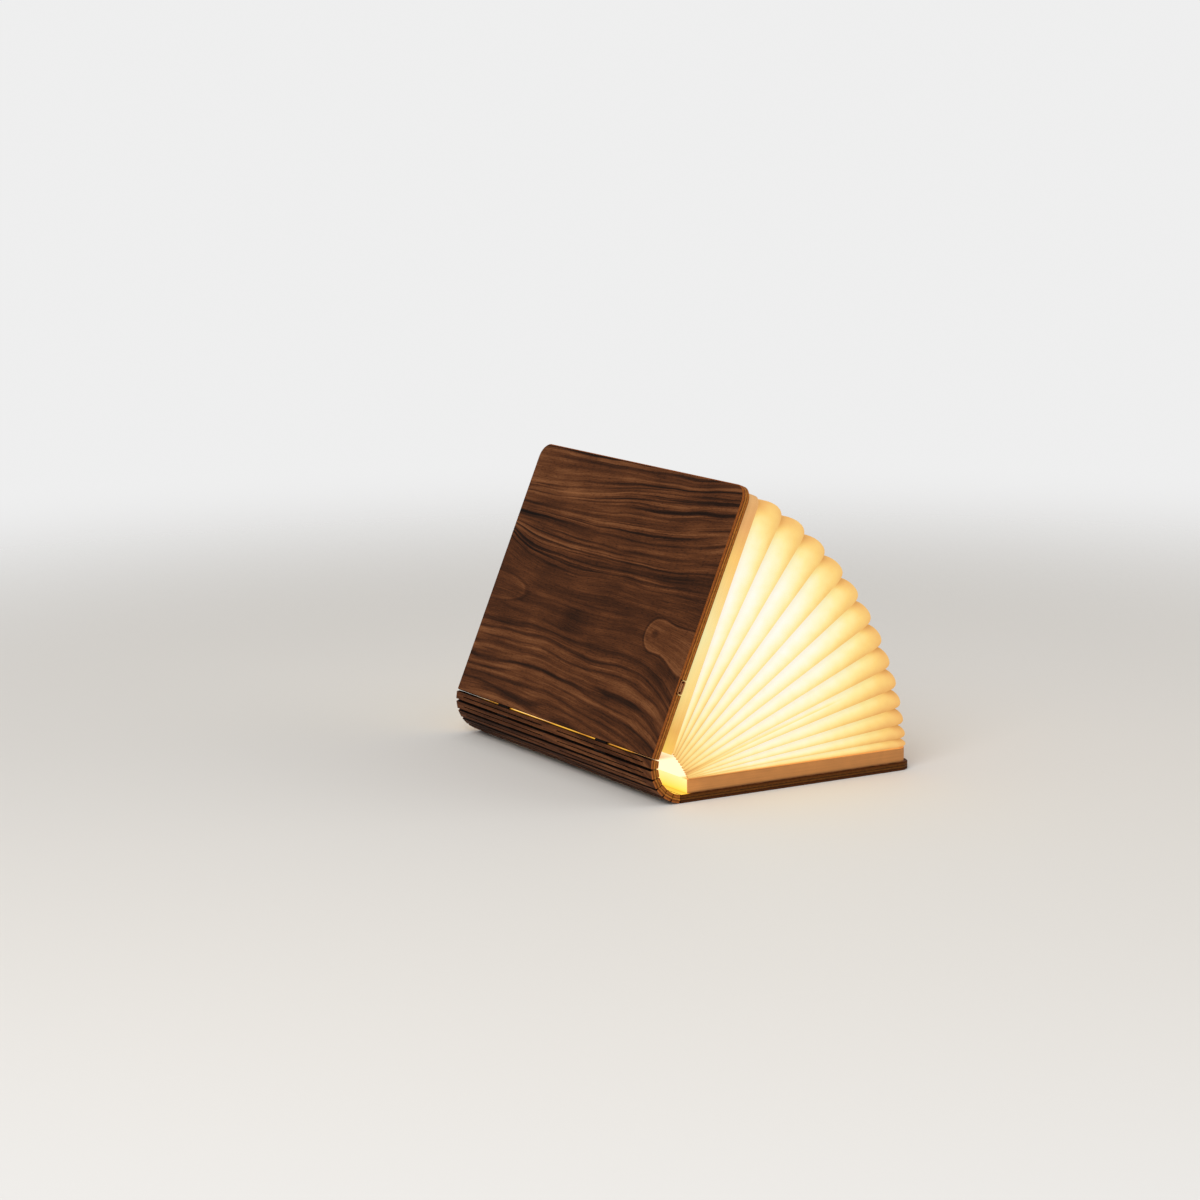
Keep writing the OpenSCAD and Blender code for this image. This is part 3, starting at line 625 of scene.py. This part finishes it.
def shade_paper():
    """Spun paper: matt, cloudy, glowing by its place on the shade."""
    material, tree = new_material("spun_paper_shade")
    where = add(tree, COORDINATES).outputs["Object"]
    turn, reach, place, to_fold, inner = (
        add(tree, "ShaderNodeAttribute", attribute_name=name).outputs["Fac"]
        for name in ("turn", "from_spine", "place", "to_fold", "inner"))
    out = add(tree, RANGE, [reach, SHADE_S0, SHADE_S1])
    to_front = chained(tree, place, ("DIVIDE", float(ROWS)))
    radial, under_dim, low_out, low_down = (
        add(tree, CURVE, {"Value": value}, points)
        for value, points in ((out, GLOW_OUTWARDS), (out, UNDER_DIM), (out, DIM_OUTWARDS),
                              (to_front, DIM_BY_PLACE)))
    # A pleat is bright under its upper fold. Its underside turns away from the bar, and is golden.
    under = chained(tree, 1.0, ("SUBTRACT", chained(tree, turn, ("POWER", LEAN))), ("POWER", 1.7))
    by_front = add(tree, RANGE, [to_front, 0.55, 0.85, 0.0, 0.2])
    near_bar = add(tree, RANGE, [out, 0.25, 0.5, 1.0, 0.0])
    lost = product(tree, under, chained(tree, by_front, ("MULTIPLY_ADD", near_bar, under_dim)))
    on_block = add(tree, RANGE, [place, 0.0, 0.4, 0.25, 0.0])
    inwards = add(tree, RANGE, [out, 0.45, 0.75, 1.0, 0.0])
    lost = chained(tree, on_block, ("MULTIPLY_ADD", inwards, chained(
        tree, low_out, ("MULTIPLY_ADD", low_down, lost))))
    light = chained(tree, radial, ("SUBTRACT", lost))
    # Round the fore-edge the bar shines straight at the middle, and little light leaves the folds.
    fore_edge = add(tree, RANGE, [out, 0.93, 1.0], **SMOOTH)
    aside = chained(tree, add(tree, SEPARATE, [where]).outputs["Y"], ("ABSOLUTE",), ("DIVIDE", HALF_H * MM))
    midway = add(tree, RANGE, [aside, 0.95, 0.55, 0.0, 0.24], **SMOOTH)
    crevice = chained(tree, turn, ("SUBTRACT", 0.5), ("MULTIPLY", 2.0), ("POWER", 2.0), ("MULTIPLY", -0.34))
    light = chained(tree, chained(tree, midway, ("ADD", crevice)), ("MULTIPLY_ADD", fore_edge, light))
    # A fold is double paper: a thin dim line that widens outwards with the pleats.
    to_mm = product(tree, reach, math.radians(OPENING / ROWS))
    line_width = add(tree, RANGE, [out, 0.0, 1.0, *FOLD_LINE])
    fold = add(tree, RANGE, [product(tree, to_fold, to_mm), 0.0, line_width, 1.0, 0.0], **SMOOTH)
    light = chained(tree, fold, ("MULTIPLY_ADD", -FOLD_DIM, light))
    # Above the stray crease the paper is dim again, and it fades out before the fore-edge.
    stray = chained(tree, place, ("SUBTRACT", STRAY_PLACE), ("MULTIPLY", to_mm))
    below = add(tree, RANGE, [stray, -0.3, 0.0])
    above = add(tree, RANGE, [stray, 0.0, 1.3, 1.0, 0.0])
    stray_end = add(tree, RANGE, [out, 0.62, 0.76, -0.26, 0.0])
    light = chained(tree, product(tree, below, above), ("MULTIPLY_ADD", stray_end, light))
    cloud = add(tree, NOISE, {"Vector": where, "Scale": 1 / (6 * MM), "Detail": 4.0})
    light = chained(tree, cloud, ("SUBTRACT", 0.5), ("MULTIPLY_ADD", 0.16, light))
    # The skin's inner side is bright by the bar's middle and golden at its ends.
    along_bar = add(tree, RANGE, [aside, 0.4, 0.9, 1.0, 0.1])
    light = chained(tree, inner, ("MULTIPLY", along_bar), ("MAXIMUM", light))
    warm = add(tree, RAMP, [light], stops=[
        (0.0, "#c68846"), (0.3, "#eeb667"), (0.5, "#fbd27b"), (0.68, "#fce99d"), (0.84, "#fbf4c6"),
        (1.0, "#fcf9ec")])
    surface, own = (
        add(tree, MIX, {0: 1.0, 6: warm, 7: (part, part, part, 1)}, **TINT).outputs[2]
        for part in (BODY_SHARE, GLOW_SHARE))
    fibre = add(tree, NOISE, {"Vector": where, "Scale": 1 / (1.1 * MM), "Detail": 3.0})
    relief = add(tree, BUMP, {"Height": fibre, "Strength": 0.25, "Distance": 0.12 * MM})
    finish_material(tree, add(tree, SHADER, {
        "Base Color": surface, "Roughness": 0.85, "Normal": relief, "IOR": 1.45,
        "Emission Color": own, "Emission Strength": 1.0}))
    return material


SHADE_PAPER = shade_paper()

# %% Make the flat, pleated skin
line_mesh = bpy.data.meshes.new("shade_line")
line_points = []
for inset in (0.0, PLEAT_DEPTH):
    far, wide = SHADE_S1 - inset, SHADE_HALF - inset
    line_points += [(SHADE_S0, -wide), (far, -wide), (far, wide), (SHADE_S0, wide)]
line_mesh.from_pydata([(s * MM, y * MM, 0) for s, y in line_points],
                      [(0, 1), (1, 2), (2, 3), (4, 5), (5, 6), (6, 7)], [])
skin = grown_from(
    SHADE_TREE, line_mesh, "shade_skin", pleats=PLEATS, steps=PLEAT_STEPS, columns=SHADE_COLUMNS,
    depth=PLEAT_DEPTH * MM, root_share=PLEAT_ROOT, grow=PLEAT_GROW * MM, crowding=PLEAT_CROWD,
    lean=LEAN, roundness=PLEAT_ROUND, ridge_radius=SHADE_R * MM,
    fold_radius=FOLD_R * MM, start=SHADE_S0 * MM, rows=float(ROWS),
    row_height=FLAT_ROW * MM, wave=PAPER_WAVE * MM, paper=SHADE_PAPER)
print("flat skin:", len(skin.data.vertices), "points,", [a.name for a in skin.data.attributes])

# %% [markdown]
# ## Fold the shade round the spine
# A point's place decides how far it turns. In the shut book every place is a flat layer. Opening turns the
# spine's rows by equal steps, and a point turns by its own share about the row that it belongs to. The same
# sum gives the rest shape here and the motion later, so the shade keeps its folds while the book moves.

# %% Chain of bending lines, shut and open
block_gap = 0.3  # from a page block's end sheet to the first fold
ROOT_BOW, ROOT_REACH = 2.4, 22.0  # the shade's root stands this far out in its middle, over this length
leaf_base = corners_mm("back_endpaper")[1][2] + block_gap


def chain_at(opening):
    """X and Z of each bending line from the first one, with the covers at an angle."""
    turns = np.radians(180 - np.arange(1, ROWS) * (180 - opening) / ROWS)
    links = PITCH * np.stack([np.cos(turns), np.sin(turns)], 1)
    return np.concatenate([[[0, 0]], np.cumsum(links, 0)])


shut_chain, open_chain = chain_at(0), chain_at(OPENING)
leaf_rise = shut_chain[-1][1] - 2 * (leaf_base - HINGE_DEPTH)
print(f"the shut shade is {leaf_rise:.2f} mm thick")


def folded(points, place):
    """Rest positions in millimetres for flat points (s, y) at their places."""
    row = np.minimum(np.floor(place), ROWS - 1).astype(int)
    a = np.radians(place * OPENING / ROWS)
    near_root = np.clip(1 - (points[:, 0] - SHADE_S0) / ROOT_REACH, 0, 1) ** 2
    bow = ROOT_BOW * near_root * np.sin(np.pi * place / ROWS)
    dx = points[:, 0] + bow - shut_chain[row, 0]
    dz = leaf_base - HINGE_DEPTH + leaf_rise * place / ROWS - shut_chain[row, 1]
    x = SPINE_X + open_chain[row, 0] + dx * np.cos(a) - dz * np.sin(a)
    z = HINGE_DEPTH + open_chain[row, 1] + dx * np.sin(a) + dz * np.cos(a)
    return np.stack([x, points[:, 1], z], 1)


# %% Cut the skin where a kerf row's share ends
cutter = bmesh.new()
cutter.from_mesh(skin.data)
for n in range(1, ROWS):
    everything = cutter.verts[:] + cutter.edges[:] + cutter.faces[:]
    bmesh.ops.bisect_plane(cutter, geom=everything, dist=1e-7, plane_no=(0, 0, 1),
                           plane_co=(0, 0, n * FLAT_ROW * MM))
cutter.to_mesh(skin.data)
cutter.free()


def read(mesh, name):
    """A float attribute as an array."""
    values = np.zeros(len(mesh.vertices), np.float32)
    mesh.attributes[name].data.foreach_get("value", values)
    return values.astype(float)


flat = np.zeros(3 * len(skin.data.vertices), np.float32)
skin.data.vertices.foreach_get("co", flat)
flat = flat.reshape(-1, 3).astype(float) / MM
places = flat[:, 2] / FLAT_ROW
marks = {name: read(skin.data, name) for name in ("turn", "from_spine", "to_fold")}
outside = folded(flat[:, :2], places)
skin.data.vertices.foreach_set("co", (outside * MM).astype(np.float32).ravel())
skin.data.update()
normals = np.array([v.normal for v in skin.data.vertices], float)
faces = [list(p.vertices) for p in skin.data.polygons]
# A skin that faces the spine's cavity is turned round.
centre = outside.mean(0)
if np.sum(normals * (outside - centre)) < 0:
    normals = -normals
    faces = [face[::-1] for face in faces]
inside = outside - PAPER_T * normals
print("skin after the cuts:", len(faces), "faces")

# %% [markdown]
# Each section bends about one row of the spine, so it blends between the two bodies that the row joins.
# The blend's weight follows a smooth step from its start to its end, and the paper needs an even turn. So a
# section is first laid out with its heights at the inverse of that smooth step, the blend is declared on
# those, and only then do the points take their folded places. The paper gets its thickness here too, as an
# inner skin and a rim, so each section is a closed sheet.


# %% Lay out, blend and fold one section
def unsmooth(share):
    """The value whose smooth step is `share`."""
    return 0.5 - np.sin(np.arcsin(np.clip(1 - 2 * share, -1, 1)) / 3)


def shade_section(n):
    """Section n of the shade, between bodies n - 1 and n of the spine."""
    middle = np.array([places[face].mean() for face in faces])
    chosen = [faces[i] for i in np.flatnonzero((middle > n - 1) & (middle < n))]
    used = np.unique(np.concatenate([np.array(face) for face in chosen]))
    new_index = {old: i for i, old in enumerate(used)}
    count = len(used)
    outer = [[new_index[v] for v in face] for face in chosen]
    inner = [[v + count for v in face[::-1]] for face in outer]
    edges = {}
    for face in outer:
        for a, b in zip(face, face[1:] + face[:1]):
            edges[(a, b)] = True
    rim = [[b, a, a + count, b + count] for a, b in edges if (b, a) not in edges]
    share = np.tile(np.clip(places[used] - (n - 1), 0, 1), 2)
    laid_out = np.zeros((2 * count, 3))
    laid_out[:, 2] = unsmooth(share)
    mesh = bpy.data.meshes.new(f"shade_paper_{n}")
    mesh.from_pydata(laid_out.tolist(), [], outer + inner + rim)
    on_skin = {name: np.tile(values[used], 2) for name, values in {"place": places, **marks}.items()}
    on_skin["inner"] = np.repeat([0.0, 1.0], count)
    for name, values in on_skin.items():
        attribute = mesh.attributes.new(name, "FLOAT", "POINT")
        attribute.data.foreach_set("value", values.astype(np.float32))
    piece = placed(f"shade_paper_{n}", mesh)
    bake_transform(piece, CHAIN[n - 1], CHAIN[n], start=(0, 0, 0), end=(0, 0, 1))
    rest = np.concatenate([outside[used], inside[used]]) * MM
    mesh.vertices.foreach_set("co", rest.astype(np.float32).ravel())
    mesh.polygons.foreach_set("use_smooth", np.ones(len(mesh.polygons), bool))
    mesh.update()
    mesh.normals_split_custom_set_from_vertices(np.concatenate([normals[used], -normals[used]]).tolist())
    mesh.materials.append(SHADE_PAPER)
    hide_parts(f"shade_fan_{n}")
    return piece


sections = [shade_section(n) for n in range(1, ROWS + 1)]
bpy.data.objects.remove(skin)
print("sections:", [len(piece.data.polygons) for piece in sections])

# %% [markdown]
# ## Page blocks and their end sheets
# Each cover carries a block that is wrapped in off-white paper like a thick wad of pages. Wrapped paper
# is matt and a little cloudy, with fine fibres. The lamp shines on it from inside: the faces towards the
# spine glow, and the front block's sides pick up light that fades towards the fore-edge.

# %% Paper of the page blocks
BLOCK_T = block_high[2] - block_low[2]
# Own light along a block's side, as (mm from its spine end, tone), and over its spine end, from the cover.
FRONT_SIDE_LIGHT = ((0, "#cfb13a"), (13, "#bd9435"), (33, "#cfc179"), (68, "#cdd29f"), (112, "#cfae5a"),
                    (132, "#b3824a"), (150, "#a17b4b"))
BACK_SIDE_LIGHT = ((0, "#6a4420"), (10, "#3a2410"), (40, "#20140a"), (150, "#100a06"))
FRONT_END_LIGHT = ((0, "#ffc83c"), (11, "#ffe58c"))
BACK_END_LIGHT = ((0, "#fbd544"), (11, "#fdf0bc"))
SHEET_INSET = 5.0  # the pages' light is counted from this far inside the cover's fore-edge
SHEET_RISE = (0.34, 0.38)  # a point is on the end sheet from this far above the block


def block_paper(step, tone, side_light, end_light, kept_at_corner):
    """Wrapped paper of a page block: matt, cloudy, warm where the lamp reaches it."""
    material, tree = new_material("wrapped_paper_" + CHAIN[step])
    place, out, along, up = place_in_sheet(tree, step)
    if step == 0:
        out = chained(tree, -(ROWS - 1) * PITCH, ("SUBTRACT", out))
    from_end = chained(tree, out, ("SUBTRACT", block_low[0] - SPINE_X))
    over_cover = chained(tree, up, ("MULTIPLY", -1.0), ("SUBTRACT", COVER_T))
    cloud = add(tree, NOISE, {"Vector": place, "Scale": 0.12, "Detail": 4.0})
    streak_at = add(tree, VECTOR, [place, (0.03, 0.03, 2.2)], operation="MULTIPLY")
    leaves = add(tree, NOISE, {"Vector": streak_at, "Scale": 1.0, "Detail": 2.0})
    tint = add(tree, RANGE, [chained(tree, cloud, ("ADD", leaves)), 0.7, 1.3, 0.88, 1.08])
    # The cover shades the paper next to it.
    by_cover = add(tree, RANGE, [over_cover, 0.0, 1.3, 0.55, 1.0], **SMOOTH)
    paper = add(tree, MIX, {0: 1.0, 6: colour(tone), 7: tint}, **TINT).outputs[2]
    paper = add(tree, MIX, {0: 1.0, 6: paper, 7: by_cover}, **TINT).outputs[2]
    lights = []
    for distance, stops in ((from_end, side_light), (over_cover, end_light)):
        length = float(stops[-1][0])
        share = chained(tree, distance, ("DIVIDE", length))
        lights.append(add(tree, RAMP, [share], stops=[(at / length, code) for at, code in stops]))
    # The side's light is weaker and warmer towards the pages.
    towards_pages = add(tree, RANGE, [over_cover, 0.0, BLOCK_T])
    warmer = add(tree, MIX, {0: towards_pages, 6: (1, 1, 1, 1), 7: (1.0, 0.86, 0.62, 1)}, **BLEND).outputs[2]
    side = add(tree, MIX, {0: 1.0, 6: lights[0], 7: warmer}, **TINT).outputs[2]
    # The spine end's light stops short of the corners, and the pages' light is warm outside the shade.
    aside = chained(tree, along, ("ABSOLUTE",))
    at_end = add(tree, RANGE, [from_end, 0.05, 0.02])
    kept = add(tree, RANGE, [aside, HALF_H - 12, HALF_H - 18, kept_at_corner, 1.0])
    glow = add(tree, MIX, {0: product(tree, at_end, kept), 6: side, 7: lights[1]}, **BLEND).outputs[2]
    margin = chained(tree, HALF_H, ("SUBTRACT", aside))
    margin = chained(tree, COVER_W - SHEET_INSET, ("SUBTRACT", out), ("MINIMUM", margin), ("DIVIDE", 12.0))
    page_light = add(tree, RAMP, [margin], stops=[(0.14, "#b97c3c"), (0.47, "#e9b765"), (0.93, "#fff3cf")])
    # By the spine, behind the bar, the middle of the pages is in its shade.
    midway = add(tree, RANGE, [aside, 56.0, 63.0, 0.9, 0.0])
    shaded = add(tree, RANGE, [from_end, 10.0, 30.0, midway, 0.0])
    page_light = add(tree, MIX, {0: shaded, 6: page_light, 7: (0, 0, 0, 1)}, **BLEND).outputs[2]
    on_pages = add(tree, RANGE, [over_cover, *(BLOCK_T + rise for rise in SHEET_RISE)])
    glow = add(tree, MIX, {0: on_pages, 6: glow, 7: page_light}, **BLEND).outputs[2]
    fibre = add(tree, NOISE, {"Vector": place, "Scale": 0.9, "Detail": 3.0})
    relief = add(tree, BUMP, {"Height": fibre, "Strength": 0.2, "Distance": 0.1 * MM})
    finish_material(tree, add(tree, SHADER, {
        "Base Color": paper, "Roughness": 0.8, "Normal": relief, "IOR": 1.45,
        "Emission Color": glow, "Emission Strength": 1.0}))
    return material


# The back block's paper tone is a painted tan-orange: the lamp's warm light and the shade on its side.
back_wrap = block_paper(0, "#bf8043", BACK_SIDE_LIGHT, BACK_END_LIGHT, 1.0)
dress(["back_page_block", "back_endpaper"], back_wrap)
front_wrap = block_paper(ROWS, "#a98459", FRONT_SIDE_LIGHT, FRONT_END_LIGHT, 0.25)
dress(["front_page_block", "front_endpaper"], front_wrap)
print("dressed the page blocks and end sheets")

# %% [markdown]
# ## The electronics
# A white bar with warm diodes lies by the spine. The board, its magnetic switch and the flat cell lie in
# pockets of the front page block, and the socket sits in a notch of the front cover. Only the socket's mouth
# shows, but each piece still gets its own finish, from solder mask to foil.


# %% A plain procedural finish
def finish(
        names, kind, light, dark, grain_mm, roughness, stretch=(1, 1, 1), metallic=0.0, bump=0.1, own=0.0):
    """Dresses nodes in a finish whose colour wanders between two tones over a grain in millimetres."""
    material, tree = new_material(kind)
    where = add(tree, COORDINATES).outputs["Object"]
    texture = grain(tree, where, [grain_mm * MM / part for part in stretch], 3.0)
    tone = add(tree, RAMP, [texture], stops=[(0.35, dark), (0.65, light)])
    shine = add(tree, RANGE, [texture, 0.3, 0.7, roughness * 0.85, roughness * 1.15])
    relief = add(tree, BUMP, {"Height": texture, "Strength": bump, "Distance": 0.05 * MM})
    shader = add(tree, SHADER, {
        "Base Color": tone, "Roughness": shine, "Metallic": metallic, "Normal": relief})
    if own > 0:
        tree.links.new(tone.outputs[0], shader.inputs["Emission Color"])
        shader.inputs["Emission Strength"].default_value = own
    finish_material(tree, shader)
    dress(names, material)


# White solder mask on an aluminium strip: smooth, with a slight orange peel.
# The strip has a painted glow for the diodes' light falling on it.
finish(["light_bar"], "white_solder_mask", "#f4f1ea", "#e8e3d8", 0.8, 0.4, own=0.5)
# Silicone full of phosphor over the diodes: yellow by itself, and lit here.
finish(["led_row"], "phosphor_silicone", "#fff6c4", "#ffe98c", 0.3, 0.35, own=3.0)
# Green solder mask over copper tracks, which show as slightly raised long stripes.
finish(["control_board"], "green_solder_mask", "#2f7048", "#1f5234", 1.2, 0.32, (1, 0.15, 1), bump=0.4)
# Moulded epoxy of a chip: black, with the mould's fine spark-eroded grain.
finish(["hall_switch"], "moulded_epoxy", "#26262a", "#161618", 0.15, 0.55)
# Drawn steel, faintly brushed along the draw, half matt.
# Its light bronze-orange is painted warm lamp light, made lighter to offset the shade of its notch.
finish(["charge_socket"], "bronze_plated_steel", "#d2935a", "#a86c3a", 0.4, 0.55, (1, 0.1, 1), 0.3)
# Laminated pouch foil: dull aluminium with a press-rolled pebble.
finish(["battery_cell"], "pouch_foil", "#b4bac2", "#9ca3ad", 1.5, 0.42, metallic=0.9, bump=0.3)
# Silicone lead sleeve: dark red, rubbery and matt.
finish(["inner_leads"], "silicone_sleeve", "#8e1d16", "#6d130e", 0.5, 0.6)
# Bright nickel on a sintered magnet, with a trace of haze.
magnets = ["switch_magnet", "back_magnets", "front_magnets"]
finish(magnets, "bright_nickel", "#d0cdc6", "#b8b4ac", 2.0, 0.2, metallic=1.0)
print("dressed the electronics")

# %% [markdown]
# ## The studio
# A pale floor and a soft, even light show the finishes at the level they were written for. The camera
# stands where the photographer stood: its place and lens were fitted to the lamp's straight edges and to the
# tips of the pleats.

# %% Camera
CAMERA_AT = Vector((-1016.6, -1608.0, 429.1)) * MM
AZIMUTH, ELEVATION, ROLL = math.radians(-30.67), math.radians(10.12), math.radians(-0.40)
FOCAL_PX, FRAME_PX = 3298.0, 1200.0

camera_data = bpy.data.cameras.new("camera")
camera_data.sensor_width = 36.0
camera_data.lens = FOCAL_PX / FRAME_PX * camera_data.sensor_width
camera = placed("camera", camera_data)
level = math.cos(ELEVATION)
backwards = Vector((math.sin(AZIMUTH) * level, -math.cos(AZIMUTH) * level, math.sin(ELEVATION)))
turned = backwards.to_track_quat("Z", "Y").to_matrix() @ Matrix.Rotation(ROLL, 3, "Z")
camera.matrix_world = Matrix.Translation(CAMERA_AT) @ turned.to_4x4()
bpy.context.scene.camera = camera
print(f"lens {camera_data.lens:.1f} mm")

# %% Floor, lamps and world
FLOOR_SIZE = 6.0
FLOOR_SOLID, FLOOR_END = 0.35, 1.3  # the floor fades into the backdrop between these distances
LAMP_MIDDLE = Vector((0, 0, 0.07))
WORLD_LIGHT, BACKDROP = 0.55, 0.86  # the world's strength as light, and as the camera sees it

floor_mesh = bpy.data.meshes.new("studio_floor")
reach = FLOOR_SIZE / 2
floor_mesh.from_pydata([(-reach, -reach, 0), (reach, -reach, 0), (reach, reach, 0), (-reach, reach, 0)],
                       [], [(0, 1, 2, 3)])
floor = placed("studio_floor", floor_mesh)
floor_paint, tree = new_material("pale_floor_paint")
floor_at = add(tree, COORDINATES).outputs["Object"]
from_lamp = add(tree, VECTOR, [floor_at], operation="LENGTH").outputs["Value"]
fade = add(tree, RANGE, [from_lamp, FLOOR_SOLID, FLOOR_END], interpolation_type="SMOOTHERSTEP")
paint = add(tree, SHADER, {
    "Base Color": colour("#e6e2dc"), "Roughness": 0.7, "Specular IOR Level": 0.2})
clear = add(tree, "ShaderNodeBsdfTransparent")
finish_material(tree, add(tree, "ShaderNodeMixShader", [fade, paint, clear]))
floor_mesh.materials.append(floor_paint)


def soft_lamp(name, place, size, power):
    """A square area lamp that faces the lamp's middle."""
    data = bpy.data.lights.new(name, "AREA")
    data.size = size
    data.energy = power
    lamp = placed(name, data)
    aim = LAMP_MIDDLE - Vector(place)
    lamp.matrix_world = Matrix.Translation(Vector(place)) @ aim.to_track_quat("-Z", "Y").to_matrix().to_4x4()
    return lamp


soft_lamp("key", (-1.3, -1.0, 1.5), 1.2, 22)
soft_lamp("fill", (1.6, -1.2, 1.0), 1.6, 8)

world = bpy.data.worlds.new("studio")
world.use_nodes = True
bpy.context.scene.world = world
sky = world.node_tree
sky.nodes.clear()
seen = add(sky, "ShaderNodeLightPath")
strength = add(sky, RANGE, [seen.outputs["Is Camera Ray"], 0.0, 1.0, WORLD_LIGHT, BACKDROP])
light = add(sky, "ShaderNodeBackground", {"Color": (1, 1, 1, 1), "Strength": strength})
add(sky, "ShaderNodeOutputWorld", {"Surface": light})
bpy.context.scene.view_settings.view_transform = "Standard"
print("studio ready")
